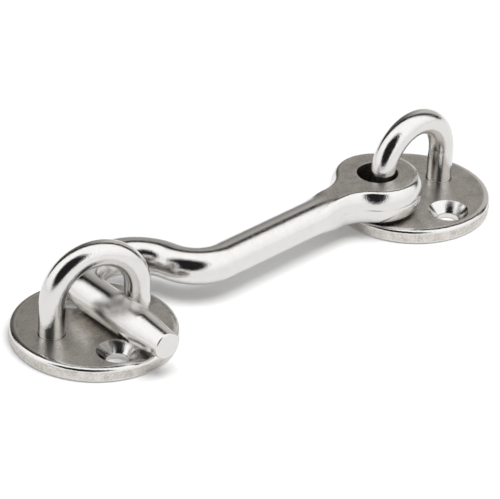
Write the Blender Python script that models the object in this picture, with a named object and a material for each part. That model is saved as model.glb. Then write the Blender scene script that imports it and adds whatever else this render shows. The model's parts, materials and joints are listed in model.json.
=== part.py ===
"""Stainless cabin hook, closed: a cranked bar with a forged eye, and two staples riveted into round plates.

Metres, +Z up. The origin is the middle of the pivot plate's underside. X runs along the line between the
plates, with the keeper plate at -X. The pin of the hook points to -Y.
"""
import math

import bmesh
import bpy
from mathutils import Vector

# Plates
PLATE_DIAMETER = 0.038
PLATE_THICKNESS = 0.0035
PLATE_TOP_ROUND = 0.0009
PLATE_BOTTOM_BREAK = 0.0003
SCREW_HOLE_DIAMETER = 0.005
COUNTERSINK_DIAMETER = 0.0094
COUNTERSINK_RIM = 0.002          # metal left between a countersink and the plate's edge

# Bar of the hook
BAR_DIAMETER = 0.0085
ARM_LENGTH = 0.0511              # straight stretch, from the eye's middle to the crank
CRANK_RADIUS = 0.009
CRANK_ANGLE = math.radians(78)
CRANK_STRAIGHT = 0.001
SWEEP_RADIUS = 0.0123
ELBOW_RADIUS = 0.0072
ELBOW_ANGLE = math.radians(35)
PIN_ANGLE = math.radians(85)     # between the arm and the pin
PIN_LENGTH = 0.0275              # straight stretch, taper included
PIN_TAPER = 0.009
PIN_TIP_DIAMETER = 0.0063
PIN_TIP_BREAK = 0.0004

# Eye of the hook
EYE_WALL = 0.0061
EYE_BULGE = 0.0012               # how far the barrelled side stands out past the flat face
EYE_FLATTENING = 0.0002          # the eye is thinner than the bar by this
EYE_HOLE_BREAK = 0.0004
NECK_FILLET = 0.009
NECK_RUN_OUT = 0.009             # length over which the flats fade into the round bar

# Staples
STAPLE_WIRE = 0.006
PIN_ROOM = 0.0063                # free room across a staple beside the bar
ARCH_START = 0.0012              # the arch begins this far below the top of the bar
TAIL_DIAMETER = 0.0074           # the riveted tail at the back of the plate
TAIL_DEPTH = 0.0009
TAIL_RECESS = 0.0003
PIVOT_STAPLE_TURN = math.radians(4.3)
KEEPER_STAPLE_SKEW = math.radians(-13.6)   # from square to the pin

# Fits
SEAT_GAP = 0.0003                # between pieces that touch
HOOK_FLOAT = 0.0005              # between the bar and the plates
EYE_PLAY = 0.0037                # the hole is wider than the wire by this
EYE_BEARING_GAP = 0.00065        # between the leg and the near side of the hole
LEG_IN_EYE_ANGLE = math.radians(-46)   # where the leg stands in the hole, from the hook's own X
PIN_LEG_GAP = 0.0005             # between the pin and the nearer leg of the keeper staple
PIN_REACH = 0.0228               # from the middle of the keeper staple to the pin's tip

# Cutters and facets
CUT_OVERRUN = 0.0009             # cutters run this far past the faces they cut
PLATE_SEGMENTS = 72
PLATE_ROUND_STEPS = 4
HOLE_SEGMENTS = 32
WIRE_SEGMENTS = 24
FLAT_SEGMENTS = 8                # across the flat of a section of the hook
SIDE_SEGMENTS = 6                # down the side of a section of the hook
NECK_RINGS = 12
EYE_SEGMENTS = 44                # round the eye, outside the neck
BEND_STEP = math.radians(9)
SHARP_ANGLE = math.radians(32)

# Sizes that follow
BAR_RADIUS = BAR_DIAMETER / 2
WIRE_RADIUS = STAPLE_WIRE / 2
TAIL_SLOPE = (TAIL_DIAMETER / 2 - WIRE_RADIUS) / TAIL_DEPTH
STAPLE_SPACING = STAPLE_WIRE + BAR_DIAMETER + PIN_ROOM
ARCH_RADIUS = STAPLE_SPACING / 2
ARCH_HEIGHT = PLATE_THICKNESS + HOOK_FLOAT + BAR_DIAMETER - ARCH_START
HOOK_HEIGHT = PLATE_THICKNESS + HOOK_FLOAT + BAR_RADIUS
SCREW_HOLE_OFFSET = (PLATE_DIAMETER - COUNTERSINK_DIAMETER) / 2 - COUNTERSINK_RIM
EYE_HOLE_RADIUS = (STAPLE_WIRE + EYE_PLAY) / 2
EYE_RADIUS = EYE_HOLE_RADIUS + EYE_WALL
EYE_FLAT_RADIUS = EYE_RADIUS - EYE_BULGE
EYE_HALF_THICKNESS = (BAR_DIAMETER - EYE_FLATTENING) / 2
BARREL_RADIUS = (EYE_HALF_THICKNESS ** 2 + EYE_BULGE ** 2) / (2 * EYE_BULGE)
BARREL_ANGLE = math.asin(EYE_HALF_THICKNESS / BARREL_RADIUS)
FILLET_OUT = BAR_RADIUS + NECK_FILLET
FILLET_ALONG = math.sqrt((EYE_RADIUS + NECK_FILLET) ** 2 - FILLET_OUT ** 2)
NECK_ANGLE = math.atan2(FILLET_OUT, FILLET_ALONG)
LEG_OFF_CENTRE = EYE_PLAY / 2 - EYE_BEARING_GAP
PIN_HEADING = math.pi + PIN_ANGLE        # from the hook's own X
PIN_OFF_CENTRE = ARCH_RADIUS * math.cos(KEEPER_STAPLE_SKEW) - WIRE_RADIUS - BAR_RADIUS - PIN_LEG_GAP


def heading_vector(heading):
    """Unit vector in plan; a heading of 0 is +X and grows towards +Y."""
    return Vector((math.cos(heading), math.sin(heading)))


def material(name, colour, roughness):
    """A metal with one colour and one roughness."""
    metal = bpy.data.materials.new(name)
    metal.use_nodes = True
    shader = metal.node_tree.nodes["Principled BSDF"]
    shader.inputs["Base Color"].default_value = (*colour, 1.0)
    shader.inputs["Metallic"].default_value = 1.0
    shader.inputs["Roughness"].default_value = roughness
    metal.diffuse_color = (*colour, 1.0)
    return metal


def brushed_steel(name):
    return material(name, (0.62, 0.60, 0.57), 0.36)


def polished_steel(name):
    return material(name, (0.80, 0.79, 0.77), 0.14)


def add_object(name, bm, metal, location=(0, 0, 0), turn=0.0):
    """Turns a finished bmesh into a named, smooth-shaded object with its faces pointing out."""
    bmesh.ops.recalc_face_normals(bm, faces=bm.faces)
    mesh = bpy.data.meshes.new(name)
    bm.to_mesh(mesh)
    bm.free()
    mesh.shade_smooth()
    mesh.set_sharp_from_angle(angle=SHARP_ANGLE)
    item = bpy.data.objects.new(name, mesh)
    item.data.materials.append(metal)
    item.location = location
    item.rotation_euler.z = turn
    bpy.context.scene.collection.objects.link(item)
    return item


def skin(bm, rings):
    """Joins each ring of vertices to the next one with quads."""
    for ring, following in zip(rings, rings[1:]):
        for k in range(len(ring)):
            after = (k + 1) % len(ring)
            bm.faces.new((ring[k], ring[after], following[after], following[k]))


def turn_profile(profile, segments):
    """A body turned about Z, from (radius, height) points that run from one end to the other."""
    bm = bmesh.new()
    angles = [2 * math.pi * k / segments for k in range(segments)]
    rings = []
    for radius, height in profile:
        rings.append([bm.verts.new((radius * math.cos(angle), radius * math.sin(angle), height))
                      for angle in angles])
    skin(bm, rings)
    bm.faces.new(rings[0])
    bm.faces.new(rings[-1])
    return bm


# Plates

def plate_profile():
    """Half section of a plate: a small break at the underside and a round on the top edge."""
    radius = PLATE_DIAMETER / 2
    profile = [(radius - PLATE_BOTTOM_BREAK, 0.0), (radius, PLATE_BOTTOM_BREAK)]
    for k in range(PLATE_ROUND_STEPS + 1):
        angle = k / PLATE_ROUND_STEPS * math.pi / 2
        profile.append((radius - PLATE_TOP_ROUND * (1 - math.cos(angle)),
                        PLATE_THICKNESS - PLATE_TOP_ROUND * (1 - math.sin(angle))))
    return profile


def screw_hole_profile():
    """A through hole with a 90 degree countersink from the top, run past both faces."""
    depth = (COUNTERSINK_DIAMETER - SCREW_HOLE_DIAMETER) / 2
    return [(SCREW_HOLE_DIAMETER / 2, -CUT_OVERRUN),
            (SCREW_HOLE_DIAMETER / 2, PLATE_THICKNESS - depth),
            (COUNTERSINK_DIAMETER / 2 + CUT_OVERRUN, PLATE_THICKNESS + CUT_OVERRUN)]


def tail_profile(grow):
    """The leg where it goes through the plate, riveted into a cone at the back; grow makes its hole."""
    wire = WIRE_RADIUS + grow
    return [(wire + TAIL_SLOPE * (TAIL_DEPTH + CUT_OVERRUN), -CUT_OVERRUN),
            (wire, TAIL_DEPTH),
            (wire, PLATE_THICKNESS + CUT_OVERRUN)]


def cut_holes(item, holes):
    """Cuts turned holes, given as (profile, place in the item's own plan), and shades their rims sharp."""
    cutters = []
    for profile, place in holes:
        cutter = add_object("cutter", turn_profile(profile, HOLE_SEGMENTS), item.data.materials[0],
                            item.matrix_basis @ place.to_3d())
        boolean = item.modifiers.new("hole", "BOOLEAN")
        boolean.operation = "DIFFERENCE"
        boolean.solver = "EXACT"
        boolean.object = cutter
        cutters.append(cutter)
    graph = bpy.context.evaluated_depsgraph_get()
    item.data = bpy.data.meshes.new_from_object(item.evaluated_get(graph))
    item.data.set_sharp_from_angle(angle=SHARP_ANGLE)
    item.modifiers.clear()
    for cutter in cutters:
        bpy.data.objects.remove(cutter, do_unlink=True)


def make_plate(name, metal, centre, staple_turn):
    """A round plate with a countersunk hole on each side of its staple, and the two holes for the legs."""
    plate = add_object(name, turn_profile(plate_profile(), PLATE_SEGMENTS), metal, (centre.x, centre.y, 0))
    along = heading_vector(staple_turn)
    across = heading_vector(staple_turn + math.pi / 2)
    screw_holes = [(screw_hole_profile(), side * SCREW_HOLE_OFFSET * across) for side in (-1, 1)]
    leg_holes = [(tail_profile(SEAT_GAP), side * ARCH_RADIUS * along) for side in (-1, 1)]
    cut_holes(plate, screw_holes + leg_holes)


# Staples

def staple_stations():
    """Points, pitches and radii from one tail over the arch to the other, in the XZ plane."""
    leg = [(TAIL_RECESS, TAIL_DIAMETER / 2 - TAIL_SLOPE * TAIL_RECESS),
           (TAIL_DEPTH, WIRE_RADIUS),
           (PLATE_THICKNESS, WIRE_RADIUS)]
    stations = [(Vector((-ARCH_RADIUS, 0, height)), math.pi / 2, radius) for height, radius in leg]
    steps = round(math.pi / BEND_STEP)
    for k in range(steps + 1):
        angle = math.pi * (1 - k / steps)
        point = Vector((ARCH_RADIUS * math.cos(angle), 0, ARCH_HEIGHT + ARCH_RADIUS * math.sin(angle)))
        stations.append((point, angle - math.pi / 2, WIRE_RADIUS))
    leg.reverse()
    stations += [(Vector((ARCH_RADIUS, 0, height)), -math.pi / 2, radius) for height, radius in leg]
    return stations


def make_staple(name, metal, centre, turn):
    """A round wire bent to a U, with its two tails riveted under the plate."""
    bm = bmesh.new()
    sideways = Vector((0, 1, 0))
    angles = [2 * math.pi * k / WIRE_SEGMENTS for k in range(WIRE_SEGMENTS)]
    rings = []
    for point, pitch, radius in staple_stations():
        outward = Vector((-math.sin(pitch), 0, math.cos(pitch)))
        spokes = [math.cos(angle) * outward + math.sin(angle) * sideways for angle in angles]
        rings.append([bm.verts.new(point + radius * spoke) for spoke in spokes])
    skin(bm, rings)
    bm.faces.new(rings[0])
    bm.faces.new(rings[-1])
    return add_object(name, bm, metal, (centre.x, centre.y, 0), turn)


# Hook

def hook_route():
    """The bar's middle line in plan, from the crank to the tip, as points with a heading and a radius.

    The hook's own frame has its origin in the middle of the eye, with the arm along -X.
    """
    place = Vector((-ARM_LENGTH, 0))
    heading = math.pi
    stations = [(place.copy(), heading, BAR_RADIUS)]
    sweep_angle = CRANK_ANGLE + PIN_ANGLE - ELBOW_ANGLE
    bends = ((CRANK_RADIUS, -CRANK_ANGLE, CRANK_STRAIGHT),
             (SWEEP_RADIUS, sweep_angle, 0.0),
             (ELBOW_RADIUS, ELBOW_ANGLE, PIN_LENGTH - PIN_TAPER))
    for radius, angle, straight in bends:
        steps = math.ceil(abs(angle) / BEND_STEP)
        chord = 2 * radius * math.sin(abs(angle) / steps / 2)
        for _ in range(steps):
            heading += angle / steps / 2
            place += chord * heading_vector(heading)
            heading += angle / steps / 2
            stations.append((place.copy(), heading, BAR_RADIUS))
        if straight:
            place += straight * heading_vector(heading)
            stations.append((place.copy(), heading, BAR_RADIUS))
    tip_radius = PIN_TIP_DIAMETER / 2
    place += (PIN_TAPER - PIN_TIP_BREAK) * heading_vector(heading)
    stations.append((place.copy(), heading, tip_radius))
    place += PIN_TIP_BREAK * heading_vector(heading)
    stations.append((place.copy(), heading, tip_radius - PIN_TIP_BREAK))
    return stations


def barrel(k):
    """Step k down the eye's barrelled side: how far inside the widest point, and the height."""
    angle = BARREL_ANGLE * (1 - 2 * k / SIDE_SEGMENTS)
    return BARREL_RADIUS * (1 - math.cos(angle)), BARREL_RADIUS * math.sin(angle)


def round_section():
    """The bar's section as (across, up) points, with the same count and order as a neck section."""
    points = []
    corner = math.pi / 4
    for quarter, steps in enumerate((FLAT_SEGMENTS, SIDE_SEGMENTS, FLAT_SEGMENTS, SIDE_SEGMENTS)):
        for k in range(steps):
            angle = corner + (quarter + k / steps) * math.pi / 2
            points.append(Vector((math.cos(angle), math.sin(angle))))
    return points


def neck_section(along):
    """Section of the neck at a distance from the eye's middle, flat on top and barrelled at the sides."""
    from_fillet = max(0.0, FILLET_ALONG - along)
    width = FILLET_OUT - math.sqrt(NECK_FILLET ** 2 - from_fillet ** 2)
    flat = FILLET_OUT - math.sqrt((NECK_FILLET + EYE_BULGE) ** 2 - from_fillet ** 2)
    points = []
    for side in (1, -1):
        for k in range(FLAT_SEGMENTS):
            points.append(Vector((side * flat * (1 - 2 * k / FLAT_SEGMENTS), side * EYE_HALF_THICKNESS)))
        for k in range(SIDE_SEGMENTS):
            inside, height = barrel(k)
            share = inside / EYE_BULGE
            points.append(Vector((-side * (width + (flat - width) * share), side * height)))
    fade = min(1.0, max(0.0, (along - FILLET_ALONG) / NECK_RUN_OUT))
    fade = fade * fade * (3 - 2 * fade)
    return [flat_point.lerp(BAR_RADIUS * round_point, fade)
            for flat_point, round_point in zip(points, round_section())]


def leg_in_eye():
    """Middle of the pivot staple's leg, from the middle of the eye, in the hook's own frame."""
    return LEG_OFF_CENTRE * heading_vector(LEG_IN_EYE_ANGLE)


def section_ring(bm, place, heading, section):
    """Vertices of a section that stands square to the heading."""
    across = heading_vector(heading - math.pi / 2)
    return [bm.verts.new((place.x + p.x * across.x, place.y + p.x * across.y, p.y)) for p in section]


def make_eye(bm):
    """The eye's faces, open where the neck starts; returns the ring of vertices round that opening."""
    hole_wall = [(EYE_HOLE_RADIUS + EYE_HOLE_BREAK, EYE_HALF_THICKNESS),
                 (EYE_HOLE_RADIUS, EYE_HALF_THICKNESS - EYE_HOLE_BREAK),
                 (EYE_HOLE_RADIUS, EYE_HOLE_BREAK - EYE_HALF_THICKNESS),
                 (EYE_HOLE_RADIUS + EYE_HOLE_BREAK, -EYE_HALF_THICKNESS)]
    neck_angles = [NECK_ANGLE * (1 - 2 * k / FLAT_SEGMENTS) for k in range(FLAT_SEGMENTS + 1)]
    rest = 2 * (math.pi - NECK_ANGLE)
    rest_angles = [-NECK_ANGLE - rest * k / EYE_SEGMENTS for k in range(1, EYE_SEGMENTS)]
    angles = neck_angles + rest_angles

    def vertex(radius, angle, height):
        return bm.verts.new((-radius * math.cos(angle), radius * math.sin(angle), height))

    inner = [[vertex(radius, angle, height) for radius, height in hole_wall] for angle in angles]
    outer = []
    chord_x = EYE_FLAT_RADIUS * math.cos(NECK_ANGLE)
    chord_y = EYE_FLAT_RADIUS * math.sin(NECK_ANGLE)
    for j, angle in enumerate(angles):
        if 0 < j < FLAT_SEGMENTS:
            y = chord_y * (1 - 2 * j / FLAT_SEGMENTS)
            outer.append([bm.verts.new((-chord_x, y, side * EYE_HALF_THICKNESS)) for side in (1, -1)])
        else:
            steps = [barrel(k) for k in range(SIDE_SEGMENTS + 1)]
            outer.append([vertex(EYE_RADIUS - inside, angle, height) for inside, height in steps])

    for j in range(len(angles)):
        after = (j + 1) % len(angles)
        for k in range(len(hole_wall) - 1):
            bm.faces.new((inner[j][k], inner[after][k], inner[after][k + 1], inner[j][k + 1]))
        bm.faces.new((inner[j][0], inner[after][0], outer[after][0], outer[j][0]))
        bm.faces.new((inner[j][-1], inner[after][-1], outer[after][-1], outer[j][-1]))
        if j >= FLAT_SEGMENTS:
            for k in range(SIDE_SEGMENTS):
                bm.faces.new((outer[j][k], outer[after][k], outer[after][k + 1], outer[j][k + 1]))

    top = [outer[j][0] for j in range(FLAT_SEGMENTS)]
    front_side = outer[FLAT_SEGMENTS][:SIDE_SEGMENTS]
    bottom = [outer[FLAT_SEGMENTS - j][-1] for j in range(FLAT_SEGMENTS)]
    back_side = outer[0][:0:-1]
    return top + front_side + bottom + back_side


def make_hook(name, metal, location, turn):
    """Eye, neck, arm, crank, elbow and tapered pin as one forged bar, with its origin on the hinge axis."""
    bm = bmesh.new()
    rings = [make_eye(bm)]
    neck_start = EYE_RADIUS * math.cos(NECK_ANGLE)
    neck_end = FILLET_ALONG + NECK_RUN_OUT
    for k in range(1, NECK_RINGS + 1):
        along = neck_start + (neck_end - neck_start) * k / NECK_RINGS
        rings.append(section_ring(bm, Vector((-along, 0)), math.pi, neck_section(along)))
    bar = round_section()
    for place, heading, radius in hook_route():
        rings.append(section_ring(bm, place, heading, [radius * point for point in bar]))
    skin(bm, rings)
    bm.faces.new(rings[-1])
    bmesh.ops.translate(bm, verts=bm.verts, vec=-leg_in_eye().to_3d())
    return add_object(name, bm, metal, location, turn)


def closed_places():
    """Where the closed hook puts its hinge axis, its turn, and the keeper plate's middle."""
    hinge = -ARCH_RADIUS * heading_vector(PIVOT_STAPLE_TURN)
    tip = hook_route()[-1][0]
    back_along_pin = PIN_REACH * heading_vector(PIN_HEADING)
    beside_pin = PIN_OFF_CENTRE * heading_vector(PIN_HEADING + math.pi / 2)
    hinge_to_keeper = tip - back_along_pin - beside_pin - leg_in_eye()
    reach = hinge_to_keeper.length
    line_heading = math.pi - math.asin(-hinge.y / reach)
    turn = line_heading - math.atan2(hinge_to_keeper.y, hinge_to_keeper.x)
    keeper = Vector((hinge.x + reach * math.cos(line_heading), 0))
    return hinge, turn, keeper


def main():
    for item in list(bpy.data.objects):
        bpy.data.objects.remove(item, do_unlink=True)

    hinge, hook_turn, keeper = closed_places()
    keeper_staple_turn = hook_turn + PIN_HEADING + math.pi / 2 + KEEPER_STAPLE_SKEW - 2 * math.pi
    for name, centre, staple_turn in (("pivot", Vector((0, 0)), PIVOT_STAPLE_TURN),
                                      ("keeper", keeper, keeper_staple_turn)):
        make_plate(name + "_plate", brushed_steel(name + "_plate_steel"), centre, staple_turn)
        make_staple(name + "_staple", polished_steel(name + "_staple_steel"), centre, staple_turn)
    make_hook("hook_arm", polished_steel("hook_arm_steel"), (hinge.x, hinge.y, HOOK_HEIGHT), hook_turn)


main()
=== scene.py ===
"""Looks of the closed cabin hook: fine meshes of its pieces, polished and brushed steel, a white studio."""
import json
import math

import bmesh
import bpy
from mathutils import Matrix, Vector

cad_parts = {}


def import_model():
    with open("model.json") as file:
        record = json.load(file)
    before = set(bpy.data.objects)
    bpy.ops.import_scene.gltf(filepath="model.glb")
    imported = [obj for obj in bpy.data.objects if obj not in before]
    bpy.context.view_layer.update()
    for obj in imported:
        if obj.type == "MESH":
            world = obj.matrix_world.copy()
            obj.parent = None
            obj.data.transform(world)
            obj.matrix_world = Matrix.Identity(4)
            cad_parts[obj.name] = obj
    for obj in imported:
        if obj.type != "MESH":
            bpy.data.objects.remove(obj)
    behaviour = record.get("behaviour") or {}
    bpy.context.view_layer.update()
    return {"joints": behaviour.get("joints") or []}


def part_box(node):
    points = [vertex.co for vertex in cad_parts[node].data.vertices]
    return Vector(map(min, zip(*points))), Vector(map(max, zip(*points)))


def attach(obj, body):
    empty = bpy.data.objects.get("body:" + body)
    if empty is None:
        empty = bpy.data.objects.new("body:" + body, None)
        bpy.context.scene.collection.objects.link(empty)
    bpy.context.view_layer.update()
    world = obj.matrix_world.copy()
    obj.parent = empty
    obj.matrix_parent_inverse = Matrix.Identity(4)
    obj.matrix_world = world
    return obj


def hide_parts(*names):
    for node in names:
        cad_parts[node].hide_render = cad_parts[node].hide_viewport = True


PICTURE_WIDTH = 500
SENSOR_WIDTH = 36

# Meshes
SHARP_ANGLE = math.radians(35)   # faces that meet at a greater angle keep a sharp edge
LEVEL_TOLERANCE = 1e-7
SIDE_TOLERANCE = 1e-6

# Plates
PLATE_RADIUS = 0.019
PLATE_THICKNESS = 0.0035
PLATE_TOP_ROUND = 0.0008
PLATE_TOP_ROLL = 0.003           # the wide start of that round
PLATE_TOP_ROLL_DEGREES = 17
PLATE_BOTTOM_BREAK = 0.0006
SCREW_HOLE_RADIUS = 0.0025
COUNTERSINK_RADIUS = 0.0047
SCREW_HOLE_OFFSET = 0.0123
RIM_BREAK = 0.00012              # worn round on the rim of every hole
LEG_SEAM = 0.00007               # between a leg and its hole
SUPPORT = 0.0001                 # a ring of vertices this far inside each flat face keeps it flat
PLATE_SEGMENTS = 240
HOLE_SEGMENTS = 96
BREAK_STEPS = 4
ROUND_STEPS = 9
ROLL_STEPS = 6
RIM_STEPS = 3

# Staples
WIRE_RADIUS = 0.003
ARCH_RADIUS = 0.0104
ARCH_HEIGHT = 0.0113
TAIL_RADIUS = 0.0037
TAIL_DEPTH = 0.0009
TAIL_RECESS = 0.0003
TAIL_EDGE_ROUND = 0.00025
PIVOT_STAPLE_TURN = math.radians(4.3)
KEEPER_STAPLE_TURN = math.radians(-15.2644)
WIRE_SEGMENTS = 72
ARCH_STEPS = 90

# Bar of the hook
HOOK_HEIGHT = 0.00825
HOOK_TURN = math.radians(3.3358)
BAR_RADIUS = 0.00425
ARM_LENGTH = 0.0511
CRANK_RADIUS = 0.009
CRANK_ANGLE = math.radians(78)
CRANK_STRAIGHT = 0.001
SWEEP_RADIUS = 0.0123
ELBOW_RADIUS = 0.0072
ELBOW_ANGLE = math.radians(35)
PIN_ANGLE = math.radians(85)
PIN_LENGTH = 0.0275
PIN_TAPER = 0.009
PIN_SHOULDER = 0.0006            # the taper starts gently over this length
PIN_TIP_RADIUS = 0.00315
PIN_TIP_ROUND = 0.0004
BEND_STEP = math.radians(2)
SHOULDER_STEPS = 4
TAPER_STEPS = 4
TIP_STEPS = 5

# Eye of the hook
EYE_HOLE_RADIUS = 0.00485
EYE_RADIUS = 0.01095
EYE_BULGE = 0.0015
EYE_HALF_THICKNESS = 0.00415
EYE_HOLE_ROUND = 0.0002
EYE_EDGE_ROUND = 0.0004
EYE_EDGE_ROLL = 0.0006           # the flat starts to fall away this far inside its edge
EYE_EDGE_DROP = 0.00016
PARTING_DEPTH = 0.00009
PARTING_HALF_WIDTH = 0.0002
NECK_FILLET = 0.009
NECK_RUN_OUT = 0.009
LEG_OFFSET = 0.0012              # from the middle of the eye to the middle of the staple's leg
LEG_HEADING = math.radians(-46)
LEG_IN_EYE = LEG_OFFSET * Vector((math.cos(LEG_HEADING), math.sin(LEG_HEADING)))
BARREL_RADIUS = (EYE_HALF_THICKNESS ** 2 + EYE_BULGE ** 2) / (2 * EYE_BULGE)
BARREL_ANGLE = math.asin(EYE_HALF_THICKNESS / BARREL_RADIUS)
FILLET_OUT = BAR_RADIUS + NECK_FILLET
FILLET_ALONG = math.sqrt((EYE_RADIUS + NECK_FILLET) ** 2 - FILLET_OUT ** 2)
NECK_ANGLE = math.atan2(FILLET_OUT, FILLET_ALONG)
FLAT_SEGMENTS = 16
BARREL_SEGMENTS = 20
EDGE_SEGMENTS = 4
NECK_RINGS = 24
RUN_OUT_RINGS = 24
EYE_SEGMENTS = 150
HOLE_ROUND_STEPS = 6

# Camera, in the photograph's place
CAMERA_ELEVATION = math.radians(30.645)
CAMERA_AZIMUTH = math.radians(-43.269)
CAMERA_ROLL = math.radians(2.863)
CAMERA_DISTANCE = 0.880
CAMERA_FOCAL_PIXELS = 3855.9
CAMERA_TARGET = Vector((-0.0535, -0.00264, 0.008))
CAMERA_NEAR = 0.01

# Steel
POLISHED_COLOUR = (0.72, 0.71, 0.695)
BRUSHED_COLOUR = (0.68, 0.65, 0.61)
WORN_COLOUR = (0.30, 0.285, 0.27)
STAIN_COLOUR = (0.40, 0.355, 0.315)
POLISHED_ROUGHNESS = (0.07, 0.15)
BRUSHED_ROUGHNESS = (0.26, 0.36)

# Noises in the steel: scale per metre, detail and roughness
STAIN_NOISE = (150.0, 3.0, 0.6)
MOTTLE_NOISE = (420.0, 4.0, 0.6)
GRAIN_NOISE = (2600.0, 2.0, 0.6)
GRIT_NOISE = (4200.0, 1.0, 0.5)
WAVE_NOISE = (260.0, 2.0, 0.4)

# What the noises do: a range is the part of a noise over which its effect grows from none to all
MOTTLE_RANGE = (0.3, 0.7)
STAIN_RANGE = (0.45, 0.75)
STAIN_MOST = 0.35
SPECKLE_RANGE = (1.05, 1.75)
SPECKLE_MOST = (0.10, 0.85)      # on polished and on brushed steel
GRAIN_IN_SPECKLE = 1.5
WAVE_HEIGHT = 0.12
GRIT_HEIGHT = 0.26
BUMP_STRENGTH = 0.5
BUMP_DISTANCE = 0.0002

# Floor
FLOOR_RADIUS = 3.0
FLOOR_SEGMENTS = 96
FLOOR_LEVEL = -0.00005           # a hair under the plates, so that no two faces coincide
FLOOR_WHITE = 0.97
FLOOR_GLOW = 0.12                # share of the floor's white that is its own

# Lamp over the object
LAMP_SIZE = (0.9, 0.7)
LAMP_WATTS = 12.5
LAMP_PLACE = Vector((-0.05, -0.3, 1.2))

# Light tent: places in it are cosines of the angle to a named direction, from 1 for straight along it
TENT_ON_FLOOR = 0.5              # share of the tent's light that falls on matt things
TENT_LEVEL = (1.12, 1.32)        # brightness at the height of the floor and overhead
TENT_RISE = (0.0, 0.6)           # where between these heights it changes
TENT_EDGE = (0.50, 0.38)         # the backdrop ends at the first and the white has begun at the second
BACKDROP_LEFT = (0.14, 0.132, 0.121)
BACKDROP_RIGHT = (0.66, 0.645, 0.62)
BACKDROP_TURN = (-0.25, 0.25)    # one grey runs into the other between these places, left to right
SEAM_PLACE = 0.58
SEAM_EDGE = (0.06, 0.17)         # how far from that place the dark ends and the light begins
SEAM_DARKNESS = 0.98
GAP_RIGHT = -0.15
GAP_UP = 0.05
GAP_RADIUS = 0.58
GAP_EDGE = (1.20, 0.85)          # squares of shares of that radius where the light and the dark begin
GAP_SIDE = (0.2, 0.4)            # the gap is on the camera's side only, and has faded in between these
GAP_DARKNESS = 0.985


def heading_vector(heading):
    """Unit vector in plan; a heading of 0 is +X and grows towards +Y."""
    return Vector((math.cos(heading), math.sin(heading)))


# Meshes

def skin(bm, rings):
    """Joins each ring of vertices to the next one with quads."""
    for ring, following in zip(rings, rings[1:]):
        for k in range(len(ring)):
            after = (k + 1) % len(ring)
            bm.faces.new((ring[k], ring[after], following[after], following[k]))


def turned_rings(bm, profile, segments, centre=Vector((0, 0))):
    """One ring of vertices for each (radius, height) point, round a vertical line through the centre."""
    def vertex(radius, angle, height):
        x = centre.x + radius * math.cos(angle)
        y = centre.y + radius * math.sin(angle)
        return bm.verts.new((x, y, height))

    angles = [2 * math.pi * k / segments for k in range(segments)]
    return [[vertex(radius, angle, height) for angle in angles] for radius, height in profile]


def fill_between(bm, rings):
    """Fills the flat area between an outer ring and the holes inside it."""
    edges = []
    for ring in rings:
        for k in range(len(ring)):
            edges.append(bm.edges.get((ring[k], ring[(k + 1) % len(ring)])))
    bmesh.ops.triangle_fill(bm, use_beauty=True, use_dissolve=False, edges=edges)


def add_piece(name, bm, node, body, steel, matrix):
    """Turns a finished bmesh into a piece that stands for a node and rides on its body."""
    bmesh.ops.recalc_face_normals(bm, faces=bm.faces)
    bm.transform(matrix)
    mesh = bpy.data.meshes.new(name)
    bm.to_mesh(mesh)
    bm.free()
    mesh.shade_smooth()
    mesh.set_sharp_from_angle(angle=SHARP_ANGLE)
    mesh.materials.append(steel)
    piece = bpy.data.objects.new(name, mesh)
    bpy.context.scene.collection.objects.link(piece)
    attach(piece, body)
    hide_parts(node)
    return piece


def arc(centre, radius, start, end, steps):
    """Points of an arc in a (radius, height) profile, both ends included; angles in degrees."""
    points = []
    for k in range(steps + 1):
        angle = math.radians(start + (end - start) * k / steps)
        points.append((centre[0] + radius * math.cos(angle), centre[1] + radius * math.sin(angle)))
    return points


# Plates

def plate_rim_profile():
    """From the flat underside, up the side and over the rounded edge to the flat top."""
    join = 90 - PLATE_TOP_ROLL_DEGREES
    shift = PLATE_TOP_ROLL - PLATE_TOP_ROUND
    roll_centre = (PLATE_RADIUS - PLATE_TOP_ROUND - shift * math.cos(math.radians(join)),
                   PLATE_THICKNESS - PLATE_TOP_ROLL)
    round_centre = (PLATE_RADIUS - PLATE_TOP_ROUND, roll_centre[1] + shift * math.sin(math.radians(join)))
    break_centre = (PLATE_RADIUS - PLATE_BOTTOM_BREAK, PLATE_BOTTOM_BREAK)
    profile = [(break_centre[0] - SUPPORT, 0.0)]
    profile += arc(break_centre, PLATE_BOTTOM_BREAK, -90, 0, BREAK_STEPS)
    profile += arc(round_centre, PLATE_TOP_ROUND, 0, join, ROUND_STEPS)
    profile += arc(roll_centre, PLATE_TOP_ROLL, join, 90, ROLL_STEPS)[1:]
    profile.append((roll_centre[0] - SUPPORT, PLATE_THICKNESS))
    return profile


def screw_hole_profile():
    """From the flat underside, up the hole and out over the countersink to the flat top."""
    neck = PLATE_THICKNESS - (COUNTERSINK_RADIUS - SCREW_HOLE_RADIUS)
    profile = [(SCREW_HOLE_RADIUS + RIM_BREAK + SUPPORT, 0.0), (SCREW_HOLE_RADIUS + RIM_BREAK, 0.0)]
    profile += [(SCREW_HOLE_RADIUS, RIM_BREAK), (SCREW_HOLE_RADIUS, neck - RIM_BREAK)]
    profile += [(SCREW_HOLE_RADIUS + RIM_BREAK / 4, neck), (SCREW_HOLE_RADIUS + RIM_BREAK, neck + RIM_BREAK)]
    rim_centre = (COUNTERSINK_RADIUS + RIM_BREAK, PLATE_THICKNESS - RIM_BREAK)
    profile += arc(rim_centre, RIM_BREAK, 135, 90, RIM_STEPS)
    profile.append((COUNTERSINK_RADIUS + RIM_BREAK + SUPPORT, PLATE_THICKNESS))
    return profile


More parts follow.
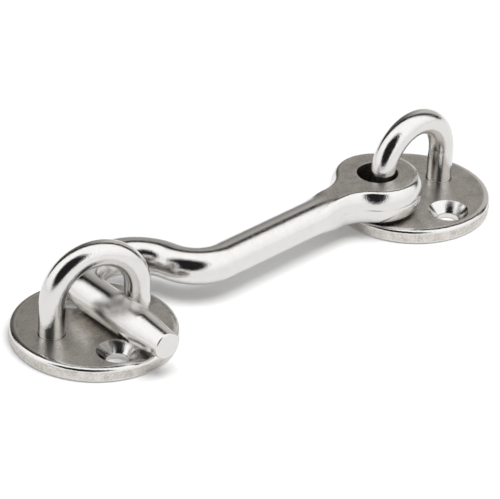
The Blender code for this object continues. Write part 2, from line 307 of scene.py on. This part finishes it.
def leg_hole_profile():
    """From the flat underside, up the cone that holds the riveted tail and up the wire to the flat top."""
    wire = WIRE_RADIUS + LEG_SEAM
    tail = TAIL_RADIUS + LEG_SEAM
    return [(tail + SUPPORT, 0.0), (tail, 0.0), (wire, TAIL_DEPTH), (wire, PLATE_THICKNESS - RIM_BREAK),
            (wire + RIM_BREAK, PLATE_THICKNESS), (wire + RIM_BREAK + SUPPORT, PLATE_THICKNESS)]


def make_plate(name, node, steel, centre, staple_turn):
    """A round plate with two screw holes and two leg holes, brushed on its flat faces and upright rim."""
    bm = bmesh.new()
    along = heading_vector(staple_turn)
    across = heading_vector(staple_turn + math.pi / 2)
    loops = [turned_rings(bm, plate_rim_profile(), PLATE_SEGMENTS)]
    for side in (-1, 1):
        screw_place = side * SCREW_HOLE_OFFSET * across
        leg_place = side * ARCH_RADIUS * along
        loops.append(turned_rings(bm, screw_hole_profile(), HOLE_SEGMENTS, screw_place))
        loops.append(turned_rings(bm, leg_hole_profile(), HOLE_SEGMENTS, leg_place))
    for rings in loops:
        skin(bm, rings)
    fill_between(bm, [rings[0] for rings in loops])
    fill_between(bm, [rings[-1] for rings in loops])
    brushed = bm.faces.layers.float.new("brushed")
    for face in bm.faces:
        heights = [vertex.co.z for vertex in face.verts]
        level = max(heights) - min(heights) < LEVEL_TOLERANCE
        rim = min(vertex.co.xy.length for vertex in face.verts) > PLATE_RADIUS - SIDE_TOLERANCE
        face[brushed] = 1.0 if level or rim else 0.0
    return add_piece(name, bm, node, "mounted_halves", steel, Matrix.Translation(centre.to_3d()))


# Staples

def staple_stations():
    """Points in the XZ plane, pitches and radii: up one leg from its tail, over the arch, down the other."""
    slope = (TAIL_RADIUS - WIRE_RADIUS) / TAIL_DEPTH
    tail_edge = TAIL_RADIUS - slope * TAIL_RECESS
    leg = [(TAIL_RECESS, tail_edge - TAIL_EDGE_ROUND - SUPPORT)]
    for turn in (0, math.pi / 6, math.pi / 3, math.pi / 2):
        leg.append((TAIL_RECESS + TAIL_EDGE_ROUND * (1 - math.cos(turn)),
                    tail_edge - TAIL_EDGE_ROUND * (1 - math.sin(turn))))
    leg += [(TAIL_DEPTH, WIRE_RADIUS), (PLATE_THICKNESS, WIRE_RADIUS)]
    stations = [(Vector((-ARCH_RADIUS, 0, height)), math.pi / 2, radius) for height, radius in leg]
    for k in range(ARCH_STEPS + 1):
        angle = math.pi * (1 - k / ARCH_STEPS)
        point = Vector((ARCH_RADIUS * math.cos(angle), 0, ARCH_HEIGHT + ARCH_RADIUS * math.sin(angle)))
        stations.append((point, angle - math.pi / 2, WIRE_RADIUS))
    leg.reverse()
    stations += [(Vector((ARCH_RADIUS, 0, height)), -math.pi / 2, radius) for height, radius in leg]
    return stations


def make_staple(name, node, steel, centre, turn):
    """A round wire bent to a U, with riveted tails that end inside the plate."""
    bm = bmesh.new()
    sideways = Vector((0, 1, 0))
    angles = [2 * math.pi * k / WIRE_SEGMENTS for k in range(WIRE_SEGMENTS)]
    rings = []
    for point, pitch, radius in staple_stations():
        outward = Vector((-math.sin(pitch), 0, math.cos(pitch)))
        spokes = [math.cos(angle) * outward + math.sin(angle) * sideways for angle in angles]
        rings.append([bm.verts.new(point + radius * spoke) for spoke in spokes])
    skin(bm, rings)
    bm.faces.new(rings[0])
    bm.faces.new(rings[-1])
    place = Matrix.Translation(centre.to_3d()) @ Matrix.Rotation(turn, 4, "Z")
    return add_piece(name, bm, node, "mounted_halves", steel, place)


# Hook

def hook_route():
    """The bar's middle line in plan, from the crank to the tip, as points with a heading and a radius."""
    place = Vector((-ARM_LENGTH, 0))
    heading = math.pi
    stations = [(place.copy(), heading, BAR_RADIUS)]
    sweep_angle = CRANK_ANGLE + PIN_ANGLE - ELBOW_ANGLE
    bends = ((CRANK_RADIUS, -CRANK_ANGLE, CRANK_STRAIGHT),
             (SWEEP_RADIUS, sweep_angle, 0.0),
             (ELBOW_RADIUS, ELBOW_ANGLE, PIN_LENGTH - PIN_TAPER))
    for radius, angle, straight in bends:
        steps = math.ceil(abs(angle) / BEND_STEP)
        chord = 2 * radius * math.sin(abs(angle) / steps / 2)
        for _ in range(steps):
            heading += angle / steps / 2
            place += chord * heading_vector(heading)
            heading += angle / steps / 2
            stations.append((place.copy(), heading, BAR_RADIUS))
        if straight:
            place += straight * heading_vector(heading)
            stations.append((place.copy(), heading, BAR_RADIUS))
    start = place
    for along, radius in pin_profile():
        stations.append((start + along * heading_vector(heading), heading, radius))
    return stations


def pin_profile():
    """Distances and radii along the taper and round its tip."""
    slope = (BAR_RADIUS - PIN_TIP_RADIUS) / PIN_TAPER
    round_start = PIN_TAPER - PIN_TIP_ROUND
    profile = []
    for k in range(1, SHOULDER_STEPS + 1):
        share = k / SHOULDER_STEPS
        profile.append((PIN_SHOULDER * share, BAR_RADIUS - slope * PIN_SHOULDER * share ** 2 / 2))
    start_radius = profile[-1][1]
    for k in range(1, TAPER_STEPS + 1):
        share = k / TAPER_STEPS
        profile.append((PIN_SHOULDER + (round_start - PIN_SHOULDER) * share,
                        start_radius + (PIN_TIP_RADIUS - start_radius) * share))
    for k in range(1, TIP_STEPS + 1):
        angle = k / TIP_STEPS * math.pi / 2
        profile.append((round_start + PIN_TIP_ROUND * math.sin(angle),
                        PIN_TIP_RADIUS - PIN_TIP_ROUND * (1 - math.cos(angle))))
    profile.append((PIN_TAPER, PIN_TIP_RADIUS - PIN_TIP_ROUND - SUPPORT))
    return profile


def side_profile():
    """The eye's side from the top flat down: how far inside the widest point, and the height."""
    def barrel(angle):
        inside = BARREL_RADIUS * (1 - math.cos(angle))
        height = BARREL_RADIUS * math.sin(angle)
        groove = max(0.0, 1 - abs(height) / PARTING_HALF_WIDTH)
        return Vector((inside + PARTING_DEPTH * groove, height))

    corner_angle = BARREL_ANGLE - EYE_EDGE_DROP / BARREL_RADIUS
    corner = barrel(corner_angle)
    roll_start = Vector((EYE_BULGE + EYE_EDGE_ROLL, EYE_HALF_THICKNESS))
    flat_end = corner + EYE_EDGE_ROUND * (roll_start - corner).normalized()
    edge_angle = corner_angle - EYE_EDGE_ROUND / BARREL_RADIUS
    side_end = barrel(edge_angle)
    upper = [roll_start + Vector((SUPPORT, 0)), roll_start]
    for k in range(EDGE_SEGMENTS):
        share = k / EDGE_SEGMENTS
        upper.append((1 - share) ** 2 * flat_end + 2 * share * (1 - share) * corner + share ** 2 * side_end)
    groove_angle = PARTING_HALF_WIDTH / BARREL_RADIUS
    steps = BARREL_SEGMENTS // 2 - 1
    for k in range(steps):
        upper.append(barrel(edge_angle + (groove_angle - edge_angle) * k / (steps - 1)))
    middle = [barrel(0.0)]
    lower = [Vector((point.x, -point.y)) for point in reversed(upper)]
    return upper + middle + lower


SIDE = side_profile()
SIDE_SEGMENTS = len(SIDE) - 1


def round_section():
    """A unit circle as (across, up) points, with the same count and order as a neck section."""
    points = []
    for quarter, steps in enumerate((FLAT_SEGMENTS, SIDE_SEGMENTS, FLAT_SEGMENTS, SIDE_SEGMENTS)):
        for k in range(steps):
            angle = math.pi / 4 + (quarter + k / steps) * math.pi / 2
            points.append(Vector((math.cos(angle), math.sin(angle))))
    return points


def fillet_ring(share):
    """Points of the neck, share 0 where it leaves the eye and 1 where its outline runs along the bar."""
    def edge(inside, side):
        angle = NECK_ANGLE + (math.pi / 2 - NECK_ANGLE) * share
        reach = NECK_FILLET + inside
        return Vector((-FILLET_ALONG + reach * math.cos(angle),
                       side * (FILLET_OUT - reach * math.sin(angle))))

    ring = []
    for side in (1, -1):
        from_edge = edge(SIDE[0].x, side)
        for k in range(FLAT_SEGMENTS):
            ring.append(Vector((from_edge.x, from_edge.y * (1 - 2 * k / FLAT_SEGMENTS), side * SIDE[0].y)))
        for k in range(SIDE_SEGMENTS):
            place = edge(SIDE[k].x, -side)
            ring.append(Vector((place.x, place.y, side * SIDE[k].y)))
    return ring


def neck_section(fade):
    """Section of the neck past its fillet, as (across, up) points; fade 1 is the round bar."""
    points = []
    half_flat = BAR_RADIUS - SIDE[0].x
    for side in (1, -1):
        for k in range(FLAT_SEGMENTS):
            points.append(Vector((side * half_flat * (1 - 2 * k / FLAT_SEGMENTS), side * SIDE[0].y)))
        for k in range(SIDE_SEGMENTS):
            points.append(Vector((-side * (BAR_RADIUS - SIDE[k].x), side * SIDE[k].y)))
    return [flat.lerp(BAR_RADIUS * circle, fade) for flat, circle in zip(points, round_section())]


def section_ring(bm, place, heading, section):
    """Vertices of a section that stands square to the heading."""
    across = heading_vector(heading - math.pi / 2)
    return [bm.verts.new((place.x + p.x * across.x, place.y + p.x * across.y, p.y)) for p in section]


def hole_wall_profile():
    """Radii and heights from the top flat, down through the eye's hole, to the bottom flat."""
    centre = EYE_HOLE_RADIUS + EYE_HOLE_ROUND
    height = EYE_HALF_THICKNESS - EYE_HOLE_ROUND
    upper = [(centre + SUPPORT, EYE_HALF_THICKNESS)]
    upper += arc((centre, height), EYE_HOLE_ROUND, 90, 180, HOLE_ROUND_STEPS)
    return upper + [(radius, -z) for radius, z in reversed(upper)]


def eye_vertices(bm, brushed):
    """The eye's vertices at each angle: down its hole, just inside its flats' edges, and down its side.

    The first angles lie across the neck. There the side is open and has its top and bottom ends only.
    """
    wall = hole_wall_profile()
    rest = 2 * (math.pi - NECK_ANGLE)
    angles = [NECK_ANGLE * (1 - 2 * k / FLAT_SEGMENTS) for k in range(FLAT_SEGMENTS + 1)]
    angles += [-NECK_ANGLE - rest * k / EYE_SEGMENTS for k in range(1, EYE_SEGMENTS)]
    flat_radius = EYE_RADIUS - SIDE[0].x
    chord_x = flat_radius * math.cos(NECK_ANGLE)
    chord_y = flat_radius * math.sin(NECK_ANGLE)

    def vertex(radius, angle, height):
        return bm.verts.new((-radius * math.cos(angle), radius * math.sin(angle), height))

    def flat_pair(place):
        return [bm.verts.new((place.x, place.y, side * EYE_HALF_THICKNESS)) for side in (1, -1)]

    inner = [[vertex(radius, angle, height) for radius, height in wall] for angle in angles]
    support = []
    outer = []
    for j, angle in enumerate(angles):
        if 0 < j < FLAT_SEGMENTS:
            place = Vector((-chord_x, chord_y * (1 - 2 * j / FLAT_SEGMENTS)))
            inside = place * (1 - SUPPORT / place.length)
            outer.append(flat_pair(place))
        else:
            inside = (flat_radius - SUPPORT) * Vector((-math.cos(angle), math.sin(angle)))
            outer.append([vertex(EYE_RADIUS - point.x, angle, point.y) for point in SIDE])
        support.append(flat_pair(inside))
        for point in (*inner[j], *support[j], outer[j][0], outer[j][-1]):
            point[brushed] = 1.0
    return inner, support, outer


def make_eye(bm, brushed):
    """The eye's faces, open where the neck starts; returns the ring of vertices round that opening."""
    inner, support, outer = eye_vertices(bm, brushed)
    for j in range(len(inner)):
        after = (j + 1) % len(inner)
        for k in range(len(inner[j]) - 1):
            bm.faces.new((inner[j][k], inner[after][k], inner[after][k + 1], inner[j][k + 1]))
        for end, k in ((0, 0), (1, -1)):
            bm.faces.new((inner[j][k], inner[after][k], support[after][end], support[j][end]))
            bm.faces.new((support[j][end], support[after][end], outer[after][k], outer[j][k]))
        if j >= FLAT_SEGMENTS:
            for k in range(SIDE_SEGMENTS):
                bm.faces.new((outer[j][k], outer[after][k], outer[after][k + 1], outer[j][k + 1]))

    top = [outer[j][0] for j in range(FLAT_SEGMENTS)]
    front_side = outer[FLAT_SEGMENTS][:SIDE_SEGMENTS]
    bottom = [outer[FLAT_SEGMENTS - j][-1] for j in range(FLAT_SEGMENTS)]
    back_side = outer[0][:0:-1]
    return top + front_side + bottom + back_side


def mark_flats(ring, brushed, amount):
    """Gives the flats of a neck ring their share of the brushed finish."""
    half = FLAT_SEGMENTS + SIDE_SEGMENTS
    for start in (0, half):
        for k in range(FLAT_SEGMENTS + 1):
            ring[(start + k) % len(ring)][brushed] = amount


def make_hook(name, node, steel, hinge):
    """The eye, the neck that fades into the round bar, and the bar to the tip of the pin, in one skin."""
    bm = bmesh.new()
    brushed = bm.verts.layers.float.new("brushed")
    rings = [make_eye(bm, brushed)]
    for k in range(1, NECK_RINGS + 1):
        rings.append([bm.verts.new(point) for point in fillet_ring(k / NECK_RINGS)])
        mark_flats(rings[-1], brushed, 1.0)
    for k in range(1, RUN_OUT_RINGS + 1):
        share = k / RUN_OUT_RINGS
        fade = share * share * (3 - 2 * share)
        place = Vector((-FILLET_ALONG - NECK_RUN_OUT * share, 0))
        rings.append(section_ring(bm, place, math.pi, neck_section(fade)))
        mark_flats(rings[-1], brushed, 1 - fade)
    circle = round_section()
    for place, heading, radius in hook_route():
        rings.append(section_ring(bm, place, heading, [radius * point for point in circle]))
    skin(bm, rings)
    bm.faces.new(rings[-1])
    place = (Matrix.Translation((hinge[0], hinge[1], HOOK_HEIGHT)) @ Matrix.Rotation(HOOK_TURN, 4, "Z")
             @ Matrix.Translation(-LEG_IN_EYE.to_3d()))
    return add_piece(name, bm, node, "hook", steel, place)


# Materials

class Nodes:
    """Short calls for making and wiring the nodes of one tree."""

    def __init__(self, tree):
        self.tree = tree
        tree.nodes.clear()

    def add(self, kind, settings=None, **inputs):
        node = self.tree.nodes.new(kind)
        for key, value in (settings or {}).items():
            setattr(node, key, value)
        for key, value in inputs.items():
            self.put(node, key, value)
        return node

    def put(self, node, key, value):
        """Links or sets an input, by its name or, as i0, i1 and on, by its number."""
        numbered = key[0] == "i" and key[1:].isdigit()
        socket = node.inputs[int(key[1:]) if numbered else key]
        if isinstance(value, bpy.types.NodeSocket):
            self.tree.links.new(value, socket)
        else:
            socket.default_value = value

    def math(self, operation, first, second=0.0):
        return self.add("ShaderNodeMath", {"operation": operation}, i0=first, i1=second).outputs[0]

    def ramp(self, value, low, high, to_low=0.0, to_high=1.0, smooth=False):
        node = self.add("ShaderNodeMapRange", {"interpolation_type": "SMOOTHSTEP" if smooth else "LINEAR"},
                        i0=value, i1=low, i2=high, i3=to_low, i4=to_high)
        return node.outputs[0]

    def noise(self, place, scale, detail, roughness):
        node = self.add("ShaderNodeTexNoise", None, Vector=place, Scale=scale, Detail=detail,
                        Roughness=roughness)
        return node.outputs["Fac"]

    def seen_directly(self):
        """1 for what the camera sees, also in metal or glass, and 0 for light that falls on matt things."""
        path = self.add("ShaderNodeLightPath").outputs
        mirrored = self.math("MAXIMUM", path["Is Glossy Ray"], path["Is Transmission Ray"])
        return self.math("MAXIMUM", path["Is Camera Ray"], mirrored)

    def mix(self, share, first, second):
        node = self.add("ShaderNodeMix", {"data_type": "RGBA"})
        self.put(node, "i0", share)
        self.put(node, "i6", first)
        self.put(node, "i7", second)
        return node.outputs[2]


def grey(level):
    return (level, level, level, 1.0)


def steel(name):
    """Polished stainless steel, brushed where the mesh says so, with fine grain, speckle and long waves."""
    made = bpy.data.materials.new(name)
    made.use_nodes = True
    nodes = Nodes(made.node_tree)
    place = nodes.add("ShaderNodeTexCoord").outputs["Object"]
    brushed = nodes.add("ShaderNodeAttribute", {"attribute_name": "brushed"}).outputs["Fac"]

    stain = nodes.noise(place, *STAIN_NOISE)
    mottle = nodes.noise(place, *MOTTLE_NOISE)
    grain = nodes.noise(place, *GRAIN_NOISE)
    grit = nodes.noise(place, *GRIT_NOISE)
    wave = nodes.noise(place, *WAVE_NOISE)

    polished = nodes.ramp(mottle, *MOTTLE_RANGE, *POLISHED_ROUGHNESS)
    satin = nodes.ramp(mottle, *MOTTLE_RANGE, *BRUSHED_ROUGHNESS)
    change = nodes.math("SUBTRACT", satin, polished)
    roughness = nodes.math("ADD", polished, nodes.math("MULTIPLY", change, brushed))

    colour = nodes.mix(brushed, (*POLISHED_COLOUR, 1.0), (*BRUSHED_COLOUR, 1.0))
    stained = nodes.math("MULTIPLY", nodes.ramp(stain, *STAIN_RANGE, 0.0, STAIN_MOST), brushed)
    warmer = nodes.mix(stained, colour, (*STAIN_COLOUR, 1.0))
    most = nodes.ramp(brushed, 0.0, 1.0, *SPECKLE_MOST)
    speckle = nodes.math("ADD", nodes.math("MULTIPLY", grain, GRAIN_IN_SPECKLE), mottle)
    tint = nodes.math("MULTIPLY", nodes.ramp(speckle, *SPECKLE_RANGE), most)
    darker = nodes.mix(tint, warmer, (*WORN_COLOUR, 1.0))

    waves = nodes.math("MULTIPLY", wave, WAVE_HEIGHT)
    height = nodes.math("ADD", waves, nodes.math("MULTIPLY", grit, GRIT_HEIGHT))
    bump = nodes.add("ShaderNodeBump", None, Strength=BUMP_STRENGTH, Distance=BUMP_DISTANCE, Height=height)
    shader = nodes.add("ShaderNodeBsdfPrincipled", None, Metallic=1.0, Roughness=roughness,
                       Normal=bump.outputs["Normal"])
    nodes.put(shader, "Base Color", darker)
    nodes.add("ShaderNodeOutputMaterial", None, Surface=shader.outputs["BSDF"])
    return made


def floor_paint():
    """White floor: part of its white is its own glow, so that the soft shadow stays light."""
    made = bpy.data.materials.new("floor_paint")
    made.use_nodes = True
    nodes = Nodes(made.node_tree)
    glow = nodes.add("ShaderNodeEmission", None, Color=grey(1.0),
                     Strength=nodes.math("MULTIPLY", nodes.seen_directly(), FLOOR_GLOW))
    paint = nodes.add("ShaderNodeBsdfDiffuse", None, Color=grey(FLOOR_WHITE - FLOOR_GLOW))
    both = nodes.add("ShaderNodeAddShader", None, i0=glow.outputs[0], i1=paint.outputs[0])
    nodes.add("ShaderNodeOutputMaterial", None, Surface=both.outputs[0])
    return made


# Studio

def camera_axes():
    """The camera's right, up and back directions."""
    share = math.cos(CAMERA_ELEVATION)
    back = Vector((math.sin(CAMERA_AZIMUTH) * share, -math.cos(CAMERA_AZIMUTH) * share,
                   math.sin(CAMERA_ELEVATION)))
    level = Vector((math.cos(CAMERA_AZIMUTH), math.sin(CAMERA_AZIMUTH), 0))
    upright = back.cross(level)
    right = math.cos(CAMERA_ROLL) * level + math.sin(CAMERA_ROLL) * upright
    up = -math.sin(CAMERA_ROLL) * level + math.cos(CAMERA_ROLL) * upright
    return right, up, back


def make_camera():
    right, up, back = camera_axes()
    data = bpy.data.cameras.new("camera")
    data.sensor_width = SENSOR_WIDTH
    data.lens = CAMERA_FOCAL_PIXELS * SENSOR_WIDTH / PICTURE_WIDTH
    data.clip_start = CAMERA_NEAR
    camera = bpy.data.objects.new("camera", data)
    turn = Matrix((right, up, back)).transposed().to_4x4()
    camera.matrix_world = Matrix.Translation(CAMERA_TARGET + CAMERA_DISTANCE * back) @ turn
    bpy.context.scene.collection.objects.link(camera)
    bpy.context.scene.camera = camera


def make_floor():
    """A wide round floor under the object."""
    bm = bmesh.new()
    rings = turned_rings(bm, [(FLOOR_RADIUS, FLOOR_LEVEL)], FLOOR_SEGMENTS)
    bm.faces.new(rings[0])
    mesh = bpy.data.meshes.new("floor")
    bm.to_mesh(mesh)
    bm.free()
    mesh.materials.append(floor_paint())
    floor = bpy.data.objects.new("floor", mesh)
    bpy.context.scene.collection.objects.link(floor)


def make_lamp():
    """A large soft lamp overhead, a little to the front, which the steel doesn't mirror."""
    data = bpy.data.lights.new("top_softbox", "AREA")
    data.shape = "RECTANGLE"
    data.size, data.size_y = LAMP_SIZE
    data.energy = LAMP_WATTS
    lamp = bpy.data.objects.new("top_softbox", data)
    lamp.visible_glossy = False
    turn = LAMP_PLACE.to_track_quat("Z", "Y").to_matrix().to_4x4()
    lamp.matrix_world = Matrix.Translation(LAMP_PLACE) @ turn
    bpy.context.scene.collection.objects.link(lamp)


def tent_seam(nodes, away):
    """How dark the tent is in the seam round its backdrop."""
    offset = nodes.math("ABSOLUTE", nodes.math("SUBTRACT", away, SEAM_PLACE))
    return nodes.ramp(offset, *SEAM_EDGE, SEAM_DARKNESS, 0.0, smooth=True)


def camera_gap(nodes, to_right, to_up, to_back):
    """How dark the tent is in the round gap in its front, where the camera stands."""
    wide = nodes.math("DIVIDE", nodes.math("SUBTRACT", to_right, GAP_RIGHT), GAP_RADIUS)
    high = nodes.math("DIVIDE", nodes.math("SUBTRACT", to_up, GAP_UP), GAP_RADIUS)
    reach = nodes.math("ADD", nodes.math("MULTIPLY", wide, wide), nodes.math("MULTIPLY", high, high))
    gap = nodes.ramp(reach, *GAP_EDGE, 0.0, GAP_DARKNESS, smooth=True)
    return nodes.math("MULTIPLY", gap, nodes.ramp(to_back, *GAP_SIDE))


def make_world():
    """A white tent with a grey backdrop behind the object, a dark seam round that and a dark gap in front."""
    world = bpy.data.worlds.new("light_tent")
    world.use_nodes = True
    bpy.context.scene.world = world
    nodes = Nodes(world.node_tree)
    direction = nodes.add("ShaderNodeTexCoord").outputs["Generated"]

    def along(axis):
        product = nodes.add("ShaderNodeVectorMath", {"operation": "DOT_PRODUCT"}, i0=direction, i1=axis)
        return product.outputs["Value"]

    right, up, back = camera_axes()
    to_right = along(right)
    away = along(-Vector((back.x, back.y, 0)).normalized())
    outside_seam = nodes.math("SUBTRACT", 1.0, tent_seam(nodes, away))
    outside_gap = nodes.math("SUBTRACT", 1.0, camera_gap(nodes, to_right, along(up), along(back)))
    kept = nodes.math("MULTIPLY", outside_seam, outside_gap)

    turn = nodes.ramp(to_right, *BACKDROP_TURN)
    backdrop = nodes.mix(turn, (*BACKDROP_LEFT, 1.0), (*BACKDROP_RIGHT, 1.0))
    rise = nodes.ramp(along(Vector((0, 0, 1))), *TENT_RISE)
    cloth = nodes.mix(rise, *(grey(level) for level in TENT_LEVEL))
    light = nodes.mix(nodes.ramp(away, *TENT_EDGE, smooth=True), backdrop, cloth)
    share = nodes.ramp(nodes.seen_directly(), 0.0, 1.0, TENT_ON_FLOOR, 1.0)
    strength = nodes.math("MULTIPLY", kept, share)
    background = nodes.add("ShaderNodeBackground", None, Color=light, Strength=strength)
    nodes.add("ShaderNodeOutputWorld", None, Surface=background.outputs[0])


def plate_centre(node):
    """The middle of a plate in plan, from the solid that it stands for."""
    low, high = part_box(node)
    return Vector(((low[0] + high[0]) / 2, (low[1] + high[1]) / 2))


def main():
    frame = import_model()
    pivot = plate_centre("pivot_plate")
    keeper = plate_centre("keeper_plate")
    hinge = frame["joints"][0]["pos_m"]
    for end, centre, turn in (("pivot", pivot, PIVOT_STAPLE_TURN), ("keeper", keeper, KEEPER_STAPLE_TURN)):
        make_plate(f"{end}_plate_piece", f"{end}_plate", steel(f"{end}_plate_steel"), centre, turn)
        make_staple(f"{end}_staple_piece", f"{end}_staple", steel(f"{end}_staple_steel"), centre, turn)
    make_hook("hook_arm_piece", "hook_arm", steel("hook_arm_steel"), hinge)
    make_floor()
    make_lamp()
    make_world()
    make_camera()
    bpy.context.scene.view_settings.view_transform = "Standard"
    bpy.context.view_layer.update()


main()
